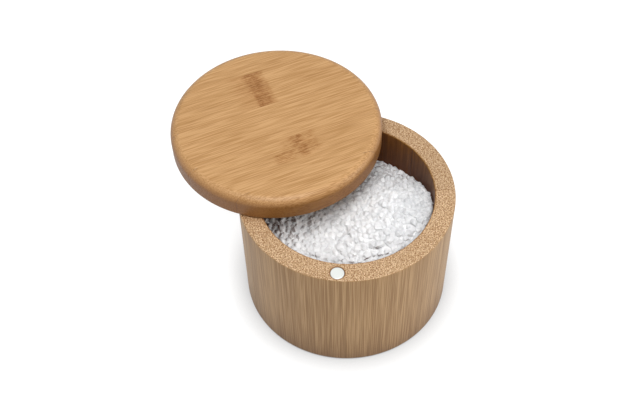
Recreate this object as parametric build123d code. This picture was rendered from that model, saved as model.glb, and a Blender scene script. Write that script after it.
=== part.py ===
from build123d import *
import math
import os

# A round salt box turned from laminated bamboo. Its flat lid swivels sideways on a steel pin let into the wall,
# and a pair of disc magnets holds it shut. Sizes are in millimetres and angles in degrees.
#
# The origin is the centre of the vessel's base, +Z is up, and +X runs along the glue seams of the vessel. Angles
# in plan are measured anticlockwise from +X. Each lid piece is shaped with the lid shut, then turned open on the
# pin.

# ---- vessel ----
vessel_diameter = 89.0
vessel_height = 59.4
wall_thickness = 8.4
floor_thickness = 8.5
cavity_corner_radius = 3.0
base_edge_radius = 1.2
rim_outer_edge_bevel = 0.5
rim_inner_edge_bevel = 0.6
vessel_board_count = 4
vessel_board_thickness = 22.5
vessel_seam_offset = 0.8

# ---- lid ----
lid_overhang = 0.2
lid_thickness = 10.8
lid_top_edge_radius = 4.0
lid_bottom_edge_radius = 1.0
lid_gap = 0.2
lid_strip_count = 5
lid_strip_width = 20.8
lid_seam_offset = -1.2
lid_grain_angle = 88.3
lid_open_angle = 62.8

# ---- pivot pin: pressed into the lid, and free to turn in a blind bore down the middle of the wall ----
pin_angle = 76.7
pin_diameter = 4.0
pin_end_bevel = 0.4
pin_depth_in_lid = 6.5
pin_depth_in_vessel = 18.0
pin_running_clearance = 0.06
pin_end_clearance = 0.25

# ---- disc magnets: one let into the rim and one into the lid, face to face when the lid is shut ----
magnet_angle = -94.5
magnet_outset = 0.5
magnet_diameter = 5.5
magnet_thickness = 3.0
magnet_edge_bevel = 0.2
magnet_pocket_clearance = 0.1
magnet_recess = 0.15

# ---- salt: level at one side of the cavity, heaped against the other, and gently uneven all over ----
salt_below_rim = 17.5
salt_mound_height = 14.5
salt_mound_reach = 36.0
salt_mound_outset = 25.0
salt_mound_angle = -18.0
salt_swell_height = 0.25
salt_swell_length = 13.0
salt_swell_count = 3
salt_swell_turn = 137.5
salt_wall_clearance = 0.3
salt_grid_spacing = 6.4

# ---- the salt's largest crystals: tumbled cubes, half sunk in the heap and spread out on a spiral ----
crystal_edge = 3.0
crystal_sink = 0.7
crystal_spacing = 7.7
crystal_spiral_turn = 137.5
crystal_tumble = (50, 70, 20)

# ---- worked out from the sizes above ----
vessel_radius = vessel_diameter / 2
cavity_radius = vessel_radius - wall_thickness
wall_middle_radius = (vessel_radius + cavity_radius) / 2
lid_radius = vessel_radius + lid_overhang
lid_underside = vessel_height + lid_gap
lid_top = lid_underside + lid_thickness
pin_radius = pin_diameter / 2
pin_centre = Vector(wall_middle_radius, 0).rotate(Axis.Z, pin_angle)
magnet_radius = magnet_diameter / 2
magnet_centre = Vector(wall_middle_radius + magnet_outset, 0).rotate(Axis.Z, magnet_angle)
magnet_pocket_depth = magnet_thickness + magnet_recess
salt_mound_crest = Vector(salt_mound_outset, 0).rotate(Axis.Z, salt_mound_angle)
crystal_half_diagonal = crystal_edge * math.sqrt(3) / 2


def turned(outline, rounded, bevelled):
    """Turns a closed outline of (radius, height) corners about Z.

    rounded maps corners of the outline to the radius of their edge, and bevelled maps others to the width of
    their bevel.
    """
    with BuildPart() as part:
        with BuildSketch(Plane.XZ) as section:
            with BuildLine():
                Polyline(*outline, close=True)
            make_face()
            for corner, radius in rounded.items():
                fillet(section.vertices().sort_by_distance(corner)[0], radius)
            for corner, width in bevelled.items():
                chamfer(section.vertices().sort_by_distance(corner)[0], width)
        revolve(axis=Axis.Z)
    return part.part


def rod(centre, radius, bottom, top):
    """An upright cylinder about centre, from the height bottom to the height top."""
    ground = (Align.CENTER, Align.CENTER, Align.MIN)
    return Pos(centre.X, centre.Y, bottom) * Cylinder(radius, top - bottom, align=ground)


def bevelled_rod(centre, radius, bottom, top, bevel):
    """An upright cylinder with the edges of both its ends bevelled."""
    plain = rod(centre, radius, bottom, top)
    return chamfer(plain.edges().filter_by(GeomType.CIRCLE), bevel)


def glued_boards(block, count, width, seam_offset, grain_angle):
    """Cuts a turned block along its glue seams and returns its boards in order across the grain.

    The seams stand one width apart and the outermost boards take the rest of the round. seam_offset moves the
    whole set of seams across the grain, away from the place where it would be central.
    """
    reach = block.bounding_box().diagonal
    seams = [(index - count / 2) * width + seam_offset for index in range(1, count)]
    sides = [-reach, *seams, reach]
    boards = []
    for near, far in zip(sides, sides[1:]):
        slab = Pos(0, (near + far) / 2, 0) * Box(2 * reach, far - near, 2 * reach)
        boards.append(block & Rot(0, 0, grain_angle) * slab)
    return boards


def make_vessel():
    """The turned cup, bored for the pin and pocketed for its magnet."""
    outer_base = (vessel_radius, 0)
    outer_rim = (vessel_radius, vessel_height)
    inner_rim = (cavity_radius, vessel_height)
    inner_floor = (cavity_radius, floor_thickness)
    cup = turned(
        [(0, 0), outer_base, outer_rim, inner_rim, inner_floor, (0, floor_thickness)],
        rounded={outer_base: base_edge_radius, inner_floor: cavity_corner_radius},
        bevelled={outer_rim: rim_outer_edge_bevel, inner_rim: rim_inner_edge_bevel},
    )
    pin_bore_floor = vessel_height - pin_depth_in_vessel - pin_end_clearance
    cup -= rod(pin_centre, pin_radius + pin_running_clearance, pin_bore_floor, lid_top)
    pocket_floor = vessel_height - magnet_pocket_depth
    cup -= rod(magnet_centre, magnet_radius + magnet_pocket_clearance, pocket_floor, lid_top)
    return cup


def make_shut_lid():
    """The lid's disc as it lies shut, drilled from below for the pin and pocketed for its magnet."""
    lower_edge = (lid_radius, lid_underside)
    upper_edge = (lid_radius, lid_top)
    disc = turned(
        [(0, lid_underside), lower_edge, upper_edge, (0, lid_top)],
        rounded={upper_edge: lid_top_edge_radius, lower_edge: lid_bottom_edge_radius},
        bevelled={},
    )
    disc -= rod(pin_centre, pin_radius, 0, lid_underside + pin_depth_in_lid)
    pocket_roof = lid_underside + magnet_pocket_depth
    disc -= rod(magnet_centre, magnet_radius + magnet_pocket_clearance, 0, pocket_roof)
    return disc


def make_pivot_pin():
    """The steel pin, from near the floor of its bore in the wall to the end of its bore in the lid."""
    foot = vessel_height - pin_depth_in_vessel
    return bevelled_rod(pin_centre, pin_radius, foot, lid_underside + pin_depth_in_lid, pin_end_bevel)


def make_magnet(bottom):
    """A plated disc magnet, with its lower face at the height bottom."""
    return bevelled_rod(magnet_centre, magnet_radius, bottom, bottom + magnet_thickness, magnet_edge_bevel)


def salt_height(place):
    """The height of the salt above a point in plan: level ground, one smooth mound, and low crossing swells."""
    share = min(1, (place - salt_mound_crest).length / salt_mound_reach)
    mound = salt_mound_height * (1 - share**2) ** 2
    swells = 0
    for number in range(salt_swell_count):
        direction = Vector(1, 0).rotate(Axis.Z, number * salt_swell_turn)
        length = salt_swell_length * (1 + number / 4)
        swells += math.sin(math.tau * place.dot(direction) / length + number)
    return vessel_height - salt_below_rim + mound + salt_swell_height * swells


def make_crystals(spread):
    """The largest crystals, each tumbled its own way, inside a circle of radius spread."""
    crystals = []
    for number in range(math.floor(math.pi * (spread / crystal_spacing) ** 2)):
        outset = crystal_spacing * math.sqrt((number + 0.5) / math.pi)
        place = Vector(outset, 0).rotate(Axis.Z, number * crystal_spiral_turn)
        tumble = Rot(*(number * turn for turn in crystal_tumble))
        cube = tumble * Box(crystal_edge, crystal_edge, crystal_edge)
        crystals.append(Pos(place.X, place.Y, salt_height(place) - crystal_sink) * cube)
    return crystals


def make_salt():
    """The salt as one solid: a fill under a surface drawn through a grid of heights, with crystals in it."""
    heap_radius = cavity_radius - salt_wall_clearance
    foot = (heap_radius, floor_thickness)
    filled = turned(
        [(0, floor_thickness), foot, (heap_radius, vessel_height), (0, vessel_height)],
        rounded={foot: cavity_corner_radius},
        bevelled={},
    )
    reach = math.ceil(heap_radius / salt_grid_spacing)
    lines = [number * salt_grid_spacing for number in range(-reach, reach + 1)]
    rows = [[Vector(x, y, salt_height(Vector(x, y))) for y in lines] for x in lines]
    surface = Face.make_surface_from_array_of_points(rows)
    heap = split(filled, bisect_by=surface, keep=Keep.BOTH).solids().sort_by(Axis.Z)[0]
    return heap + make_crystals(spread=heap_radius - crystal_half_diagonal)


def opened(shut):
    """A lid piece turned from where it lies shut to where it stands open, about the pin."""
    return shut.rotate(Axis(pin_centre, (0, 0, 1)), -lid_open_angle)


vessel_boards = glued_boards(
    make_vessel(), vessel_board_count, vessel_board_thickness, vessel_seam_offset, grain_angle=0
)
lid_strips = glued_boards(make_shut_lid(), lid_strip_count, lid_strip_width, lid_seam_offset, lid_grain_angle)

parts = {f"vessel_board_{number}": board for number, board in enumerate(vessel_boards, start=1)}
parts |= {f"lid_strip_{number}": opened(strip) for number, strip in enumerate(lid_strips, start=1)}
parts["pivot_pin"] = opened(make_pivot_pin())
parts["vessel_magnet"] = make_magnet(vessel_height - magnet_pocket_depth)
parts["lid_magnet"] = opened(make_magnet(lid_underside + magnet_recess))
parts["salt"] = make_salt()

os.makedirs("parts", exist_ok=True)
for name, solid in parts.items():
    solid.label = name
    export_step(solid, f"parts/{name}.step")
    size = solid.bounding_box().size
    print(f"{name}: {solid.volume:.0f} mm3, {size.X:.1f} x {size.Y:.1f} x {size.Z:.1f} mm")
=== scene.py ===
"""A round bamboo salt box, heaped with coarse salt, its level lid swung open on a steel pin.

Sizes in the object's own classes are in millimetres, and a piece is scaled to metres when it is finished.
The studio's note gives its own units.
"""

import logging
import math
import random
from dataclasses import dataclass, field
from enum import Enum
from typing import Callable, Iterable, Optional, Sequence, Union

import bmesh
import bpy
from mathutils import Euler, Matrix, Vector


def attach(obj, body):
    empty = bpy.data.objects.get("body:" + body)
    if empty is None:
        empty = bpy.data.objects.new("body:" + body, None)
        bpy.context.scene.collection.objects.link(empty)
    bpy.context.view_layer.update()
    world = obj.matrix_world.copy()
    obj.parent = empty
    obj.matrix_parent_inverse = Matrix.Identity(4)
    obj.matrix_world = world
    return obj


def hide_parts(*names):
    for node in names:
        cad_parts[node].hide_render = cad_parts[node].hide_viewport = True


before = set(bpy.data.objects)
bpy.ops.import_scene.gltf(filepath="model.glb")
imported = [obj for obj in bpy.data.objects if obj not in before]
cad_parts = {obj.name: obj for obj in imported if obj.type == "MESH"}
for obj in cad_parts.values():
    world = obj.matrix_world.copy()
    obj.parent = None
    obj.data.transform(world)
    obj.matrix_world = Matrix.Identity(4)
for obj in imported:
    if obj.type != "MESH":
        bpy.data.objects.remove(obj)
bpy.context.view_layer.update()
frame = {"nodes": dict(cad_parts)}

LOG = logging.getLogger("salt_box")
# One millimetre, in metres.
MM = 0.001
ROUND_STEPS = 256
MERGE_DISTANCE = 1e-4
# A face whose direction agrees with a flat's by this much counts as flat.
FLATNESS = 0.99995
# The edge of the block that a crystal of unit radius is shaped from.
TEMPLATE_EDGE = 1.5
# Values on faces that materials read.
END_GRAIN = "end_grain"
TURNED_SIDE = "turned_side"
# Each crystal's random grey tone, plus painted shade across the heap.
CRYSTAL_TONE_AND_SHADE = "crystal_tone_and_shade"
UP = Vector((0.0, 0.0, 1.0))
WHITE = (1.0, 1.0, 1.0)

Colour = tuple[float, float, float]
Span = tuple[float, float]
Shape = bmesh.types.BMesh
Socket = bpy.types.NodeSocket
Inputs = bpy.types.NodeInputs
Outputs = bpy.types.NodeOutputs
Feed = Union[float, int, Sequence[float], Socket]
Feeds = dict[Union[str, int], Feed]
FLOAT, VECTOR = "NodeSocketFloat", "NodeSocketVector"
RISING: Span = (0.0, 1.0)
FALLING: Span = (1.0, 0.0)


class Body(str, Enum):
    """The two bodies that the swivel joins."""

    VESSEL = "vessel"
    LID = "lid"


class Slot(str, Enum):
    """The record's material slots."""

    VESSEL_BAMBOO = "vessel_bamboo"
    LID_BAMBOO = "lid_bamboo"
    PIN_STEEL = "pin_steel"
    MAGNET_PLATING = "magnet_plating"
    SALT = "salt"


class Grain(Enum):
    """Which way the fibres of a bamboo part run when the part is in place."""

    UPRIGHT = "upright"
    LEVEL = "level"


# --------------------------------------------------------------------------------------------------
# Node trees
# --------------------------------------------------------------------------------------------------


class NodeBench:
    """Adds nodes to one tree and links them.

    A Mix node holds the sockets of all its kinds of data under the same names, so they are told by number.
    """

    def __init__(self, tree: bpy.types.NodeTree) -> None:
        """Starts work on a tree.

        Args:
            tree: The tree that the nodes go into.
        """
        self.tree = tree

    def node(self, kind: str, feeds: Optional[Feeds] = None, **options: object) -> bpy.types.Node:
        """Adds one node.

        Args:
            kind: The node's type name.
            feeds: A constant or another node's output for each input, by the input's name or index.
            **options: The node's own properties.

        Returns:
            The new node.
        """
        node = self.tree.nodes.new(kind)
        for name, value in options.items():
            setattr(node, name, value)
        for key, value in (feeds or {}).items():
            if isinstance(value, Socket):
                self.link(value, node.inputs[key])
            else:
                node.inputs[key].default_value = value
        return node

    def link(self, value: Socket, socket: Socket) -> None:
        """Feeds one node's output into another node's input."""
        self.tree.links.new(value, socket)

    def math(self, operation: str, *values: Feed) -> Socket:
        """Adds a Math node and returns its result."""
        return self.node("ShaderNodeMath", dict(enumerate(values)), operation=operation).outputs[0]

    def vector_math(self, operation: str, *values: Feed) -> Socket:
        """Adds a Vector Math node and returns its vector."""
        return self.node("ShaderNodeVectorMath", dict(enumerate(values)), operation=operation).outputs[0]

    def scaled(self, vector: Feed, factor: Feed) -> Socket:
        """Scales a vector by one factor."""
        return self.node("ShaderNodeVectorMath", {0: vector, "Scale": factor}, operation="SCALE").outputs[0]

    def parts(self, vector: Feed) -> Outputs:
        """Splits a vector into its X, Y and Z."""
        return self.node("ShaderNodeSeparateXYZ", {0: vector}).outputs

    def centred(self, value: Feed, strength: Feed) -> Socket:
        """Centres a value that runs from 0 to 1 about 0, and gives it a strength."""
        return self.math("MULTIPLY", self.math("SUBTRACT", value, 0.5), strength)

    def own_place(self) -> Socket:
        """The shaded point's place, in metres, in the piece's own coordinates."""
        return self.node("ShaderNodeTexCoord").outputs["Object"]

    def attribute(self, name: str) -> Socket:
        """The value that an attribute has on the shaded face."""
        return self.node("ShaderNodeAttribute", attribute_name=name).outputs["Fac"]

    def openness(self, reach: float, samples: int, **feeds: Feed) -> Socket:
        """How open the surroundings of the shaded point are, from 0 to 1.

        Args:
            reach: How far away things still count, in millimetres.
            samples: How many rays are sent out.
            **feeds: What goes into the node's other inputs.

        Returns:
            The open share.
        """
        feeds = {"Distance": reach * MM, **feeds}
        return self.node("ShaderNodeAmbientOcclusion", feeds, samples=samples).outputs["AO"]

    def bump(self, height: Feed, strength: float, distance: float) -> Socket:
        """Turns a height, with a distance in millimetres, into a normal."""
        feeds = {"Height": height, "Strength": strength, "Distance": distance * MM}
        return self.node("ShaderNodeBump", feeds).outputs[0]

    def remap(self, value: Feed, source: tuple[Feed, Feed], target: tuple[Feed, Feed]) -> Socket:
        """Eases a value from one range to another with a smooth step.

        Args:
            value: The value to remap.
            source: The range that it is read over.
            target: What the two ends of that range become.

        Returns:
            The remapped value.
        """
        limits = zip(("From Min", "From Max", "To Min", "To Max"), (*source, *target))
        feeds = {"Value": value, **dict(limits)}
        return self.node("ShaderNodeMapRange", feeds, interpolation_type="SMOOTHSTEP").outputs["Result"]

    def mix(self, factor: Feed, first: Feed, second: Feed, blend: str = "MIX") -> Socket:
        """Mixes two colours.

        Args:
            factor: How much of the second colour is used.
            first: The first colour.
            second: The second colour.
            blend: The blend mode.

        Returns:
            The mixed colour.
        """
        first, second = (rgba(c) if isinstance(c, tuple) and len(c) == 3 else c for c in (first, second))
        feeds = {0: factor, 6: first, 7: second}
        return self.node("ShaderNodeMix", feeds, data_type="RGBA", blend_type=blend).outputs[2]

    def mix_vectors(self, factor: Feed, first: Feed, second: Feed) -> Socket:
        """Mixes two vectors, with factor as the second one's share."""
        return self.node("ShaderNodeMix", {0: factor, 4: first, 5: second}, data_type="VECTOR").outputs[1]

    def noise(self, vector: Feed, detail: float, rough: float = 0.5, twist: float = 0.0) -> Socket:
        """Adds a noise texture of unit scale.

        Args:
            vector: Where the noise is read.
            detail: How many finer noises are laid over the first.
            rough: How strong the finer noises are.
            twist: How much the noise is distorted.

        Returns:
            The noise's value.
        """
        feeds = {"Vector": vector, "Scale": 1.0, "Detail": detail, "Roughness": rough, "Distortion": twist}
        return self.node("ShaderNodeTexNoise", feeds).outputs[0]

    def drawn_out(self, grain: Feed, width: Feed, length: Feed) -> Socket:
        """Scales grain coordinates so that a pattern of unit size is drawn out along the grain.

        Args:
            grain: The grain coordinates.
            width: The pattern's size across the grain, in millimetres.
            length: Its size along the grain.

        Returns:
            The scaled coordinates.
        """
        across = self.math("DIVIDE", 1.0, width)
        along = self.math("DIVIDE", 1.0, length)
        scale = self.node("ShaderNodeCombineXYZ", {0: along, 1: across, 2: across}).outputs[0]
        return self.vector_math("MULTIPLY", grain, scale)


def rgba(colour: Colour) -> tuple[float, float, float, float]:
    """Adds full opacity to a colour."""
    return (*colour, 1.0)


def new_material(name: str) -> tuple[bpy.types.Material, NodeBench, Inputs]:
    """Starts a material.

    Args:
        name: The material's name.

    Returns:
        The material, the bench on its tree, and the inputs of its shader.
    """
    material = bpy.data.materials.new(name)
    material.use_nodes = True
    return material, NodeBench(material.node_tree), material.node_tree.nodes["Principled BSDF"].inputs


class SharedEffect:
    """A shader node group that several materials use, built once."""

    name: str = ""
    inputs: dict[str, str] = {}
    outputs: dict[str, str] = {}

    @classmethod
    def tree(cls) -> bpy.types.NodeTree:
        """Finds the group, and builds it on first use.

        Returns:
            The node group.
        """
        known = bpy.data.node_groups.get(cls.name)
        if known:
            return known
        tree = bpy.data.node_groups.new(cls.name, "ShaderNodeTree")
        for label, kind in cls.inputs.items():
            tree.interface.new_socket(name=label, in_out="INPUT", socket_type=kind)
        for label, kind in cls.outputs.items():
            tree.interface.new_socket(name=label, in_out="OUTPUT", socket_type=kind)
        bench = NodeBench(tree)
        source = bench.node("NodeGroupInput")
        cls.wire(bench, source.outputs, bench.node("NodeGroupOutput").inputs)
        return tree

    @classmethod
    def wire(cls, bench: NodeBench, given: Outputs, wanted: Inputs) -> None:
        """Builds the inside of the group.

        Args:
            bench: The bench on the group's tree.
            given: The group's inputs, as sockets to read.
            wanted: The group's outputs, as sockets to feed.
        """
        raise NotImplementedError

    @classmethod
    def placed(cls, bench: NodeBench, feeds: Feeds) -> Outputs:
        """Places the group in a material with that material's own values.

        Args:
            bench: The bench on the material's tree.
            feeds: The values and links of the group's inputs.

        Returns:
            The placed group's outputs.
        """
        return bench.node("ShaderNodeGroup", feeds, node_tree=cls.tree()).outputs


class FibreBundles(SharedEffect):
    """The dark fibre bundles of bamboo, as streaks along the grain."""

    name = "fibre_bundles"
    inputs = {"Grain": VECTOR, "Pitch": FLOAT, "Length": FLOAT, "Thickness": FLOAT}
    outputs = {"Mask": FLOAT}
    looseness = 0.9
    core_share = 0.35

    @classmethod
    def wire(cls, bench: NodeBench, given: Outputs, wanted: Inputs) -> None:
        """Builds the group from cells drawn out along the grain.

        Args:
            bench: The bench on the group's tree.
            given: The group's inputs, as sockets to read.
            wanted: The group's outputs, as sockets to feed.
        """
        place = bench.drawn_out(given["Grain"], given["Pitch"], given["Length"])
        feeds = {"Vector": place, "Scale": 1.0, "Randomness": cls.looseness}
        distance = bench.node("ShaderNodeTexVoronoi", feeds).outputs["Distance"]
        core = bench.math("MULTIPLY", given["Thickness"], cls.core_share)
        bench.link(bench.remap(distance, (core, given["Thickness"]), FALLING), wanted["Mask"])


class CutFibres(SharedEffect):
    """The ends of the fibres where bamboo is cut across: close dark dots, and grains of pale pith."""

    name = "cut_fibres"
    inputs = {"Grain": VECTOR, "Pitch": FLOAT}
    outputs = {"Dots": FLOAT, "Pith": FLOAT}
    looseness = 0.9
    fineness = {"Dots": 1.0, "Pith": 1.35}
    edges = {"Dots": (0.16, 0.46), "Pith": (0.1, 0.5)}
    faint_cells: Span = (0.1, 0.6)
    faintness: Span = (0.2, 1.0)

    @classmethod
    def wire(cls, bench: NodeBench, given: Outputs, wanted: Inputs) -> None:
        """Builds the group from two layers of flat cells in the plane of the cut.

        Args:
            bench: The bench on the group's tree.
            given: The group's inputs, as sockets to read.
            wanted: The group's outputs, as sockets to feed.
        """
        parts = bench.parts(given["Grain"])
        for label in cls.outputs:
            pitch = bench.math("DIVIDE", given["Pitch"], cls.fineness[label])
            flat = {0: bench.math("DIVIDE", parts[1], pitch), 1: bench.math("DIVIDE", parts[2], pitch)}
            place = bench.node("ShaderNodeCombineXYZ", flat).outputs[0]
            feeds = {"Vector": place, "Scale": 1.0, "Randomness": cls.looseness}
            cells = bench.node("ShaderNodeTexVoronoi", feeds, voronoi_dimensions="2D").outputs
            chance = bench.node("ShaderNodeSeparateColor", {0: cells["Color"]}).outputs[0]
            chance = bench.remap(chance, cls.faint_cells, cls.faintness)
            mask = bench.remap(cells["Distance"], cls.edges[label], FALLING)
            bench.link(bench.math("MULTIPLY", mask, chance), wanted[label])


class GrainStreaks(SharedEffect):
    """Fine, middling and broad changes of tone that run along the grain."""

    name = "grain_streaks"
    inputs = {
        "Grain": VECTOR, "Fine Width": FLOAT, "Fine Length": FLOAT, "Middle Width": FLOAT,
        "Middle Length": FLOAT, "Broad Width": FLOAT, "Broad Length": FLOAT,
    }
    outputs = {"Fine": FLOAT, "Middle": FLOAT, "Broad": FLOAT}
    reading: Span = (0.3, 0.7)

    @classmethod
    def wire(cls, bench: NodeBench, given: Outputs, wanted: Inputs) -> None:
        """Builds the group from three noises drawn out along the grain.

        Args:
            bench: The bench on the group's tree.
            given: The group's inputs, as sockets to read.
            wanted: The group's outputs, as sockets to feed.
        """
        for label in cls.outputs:
            place = bench.drawn_out(given["Grain"], given[f"{label} Width"], given[f"{label} Length"])
            bench.link(bench.remap(bench.noise(place, detail=1.0), cls.reading, RISING), wanted[label])


class KnuckleMark(SharedEffect):
    """The brown mark that a joint of the cane leaves on a strip, ragged along the fibres and mottled."""

    name = "knuckle_mark"
    inputs = {
        "Grain": VECTOR, "Along": FLOAT, "Across": FLOAT, "Half Length": FLOAT, "Half Width": FLOAT,
        "Softness": FLOAT, "Mottle": FLOAT,
    }
    outputs = {"Stain": FLOAT, "Specks": FLOAT}
    ragged_scale = (0.12, 0.9, 0.9)
    ragged_reach = 2.6
    side_softness = 1.2
    blotch_scale = (0.42, 0.8, 0.8)
    blotch_reading: Span = (0.34, 0.6)
    fibre_scale = (0.3, 2.4, 2.4)
    fibre_reading: Span = (0.36, 0.62)
    fibre_floor = 0.6
    curl_scale = (0.9, 1.6, 1.6)
    curl_reading: Span = (0.53, 0.66)
    curl_twist = 1.2

    @classmethod
    def wire(cls, bench: NodeBench, given: Outputs, wanted: Inputs) -> None:
        """Builds the group: a soft-edged patch whose ends follow the fibres, broken up by a mottle.

        Args:
            bench: The bench on the group's tree.
            given: The group's inputs, as sockets to read.
            wanted: The group's outputs, as sockets to feed.
        """
        grain = given["Grain"]
        ragged = bench.noise(bench.vector_math("MULTIPLY", grain, cls.ragged_scale), detail=3.0, rough=0.6)
        shift = bench.centred(ragged, bench.math("MULTIPLY", given["Softness"], cls.ragged_reach))
        parts = bench.parts(grain)
        edges = []
        for place, centre, half, softness in (
            (bench.math("ADD", parts[0], shift), "Along", "Half Length", given["Softness"]),
            (parts[1], "Across", "Half Width", cls.side_softness),
        ):
            distance = bench.math("ABSOLUTE", bench.math("SUBTRACT", place, given[centre]))
            inner = bench.math("SUBTRACT", given[half], softness)
            outer = bench.math("ADD", given[half], softness)
            edges.append(bench.remap(distance, (inner, outer), FALLING))
        patch = bench.math("MULTIPLY", *edges)
        blotch = bench.noise(bench.vector_math("MULTIPLY", grain, cls.blotch_scale), detail=4.0, rough=0.65)
        floor = bench.math("SUBTRACT", 1.0, given["Mottle"])
        broken = bench.remap(blotch, cls.blotch_reading, (floor, 1.0))
        fibres = bench.noise(bench.vector_math("MULTIPLY", grain, cls.fibre_scale), detail=2.0, rough=0.6)
        combed = bench.remap(fibres, cls.fibre_reading, (bench.math("MULTIPLY", floor, cls.fibre_floor), 1.0))
        bench.link(bench.math("MULTIPLY", patch, bench.math("MULTIPLY", broken, combed)), wanted["Stain"])
        curl_place = bench.vector_math("MULTIPLY", grain, cls.curl_scale)
        curls = bench.noise(curl_place, detail=3.0, rough=0.7, twist=cls.curl_twist)
        curls = bench.remap(curls, cls.curl_reading, RISING)
        bench.link(bench.math("MULTIPLY", patch, curls), wanted["Specks"])


class GlueLine(SharedEffect):
    """The thin dark line where two boards are glued, patchy along its length."""

    name = "glue_line"
    inputs = {"Grain": VECTOR, "Seam": FLOAT, "Width": FLOAT}
    outputs = {"Mask": FLOAT}
    patch_scale = (0.06, 0.05, 0.06)
    patch_reading: Span = (0.3, 0.62)
    patch_strength: Span = (0.35, 1.0)

    @classmethod
    def wire(cls, bench: NodeBench, given: Outputs, wanted: Inputs) -> None:
        """Builds the group from the distance to the seam.

        Args:
            bench: The bench on the group's tree.
            given: The group's inputs, as sockets to read.
            wanted: The group's outputs, as sockets to feed.
        """
        across = bench.parts(given["Grain"])[1]
        distance = bench.math("ABSOLUTE", bench.math("SUBTRACT", across, given["Seam"]))
        line = bench.remap(distance, (0.0, given["Width"]), FALLING)
        patchy = bench.noise(bench.vector_math("MULTIPLY", given["Grain"], cls.patch_scale), detail=2.0)
        patchy = bench.remap(patchy, cls.patch_reading, cls.patch_strength)
        bench.link(bench.math("MULTIPLY", line, patchy), wanted["Mask"])


class Handling(SharedEffect):
    """Large soft patches of tone and sheen, as hands and wiping leave on oiled wood and on plated metal."""

    name = "handling"
    inputs = {"Place": VECTOR, "Size": FLOAT}
    outputs = {"Patches": FLOAT, "Grit": FLOAT}
    patch_reading: Span = (0.32, 0.68)
    grit_scale = 6.0

    @classmethod
    def wire(cls, bench: NodeBench, given: Outputs, wanted: Inputs) -> None:
        """Builds the group from a large and a small noise.

        Args:
            bench: The bench on the group's tree.
            given: The group's inputs, as sockets to read.
            wanted: The group's outputs, as sockets to feed.
        """
        large = bench.scaled(given["Place"], bench.math("DIVIDE", 1.0, given["Size"]))
        patches = bench.remap(bench.noise(large, detail=2.0), cls.patch_reading, RISING)
        bench.link(patches, wanted["Patches"])
        small = bench.scaled(given["Place"], cls.grit_scale)
        bench.link(bench.noise(small, detail=3.0, rough=0.6), wanted["Grit"])


# --------------------------------------------------------------------------------------------------
# Finishes
# --------------------------------------------------------------------------------------------------


@dataclass(frozen=True)
class Knuckle:
    """Where one knuckle mark lies on a strip, in millimetres along and across the grain."""

    along: float
    across: float
    half_length: float
    half_width: float
    softness: float
    mottle: float
    strength: float

    @property
    def sizes(self) -> dict[str, float]:
        """What goes into the inputs of the shared mark."""
        return {
            "Along": self.along, "Across": self.across, "Half Length": self.half_length,
            "Half Width": self.half_width, "Softness": self.softness, "Mottle": self.mottle,
        }


@dataclass(frozen=True)
class GapShadowRing:
    """A thin dark line round a hole, in millimetres in plan: a painted shadow of the gap round the magnet."""

    centre: tuple[float, float]
    radius: float
    width: float


@dataclass(frozen=True)
class GrainFrame:
    """Turns a piece's own coordinates into millimetres along the grain, across it, and through it."""

    grain: Grain
    centre: tuple[float, float] = (0.0, 0.0)
    heading: float = 0.0

    def placed(self, bench: NodeBench) -> Socket:
        """Adds the mapping to a material.

        Args:
            bench: The bench on the material's tree.

        Returns:
            The grain coordinates.
        """
        upright = self.grain is Grain.UPRIGHT
        turn = (0.0, math.radians(-90.0), 0.0) if upright else (0.0, 0.0, math.radians(self.heading))
        centre = (self.centre[0] * MM, self.centre[1] * MM, 0.0)
        feeds = {"Vector": bench.own_place(), "Location": centre, "Rotation": turn, "Scale": (MM,) * 3}
        return bench.node("ShaderNodeMapping", feeds, vector_type="TEXTURE").outputs[0]


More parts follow.
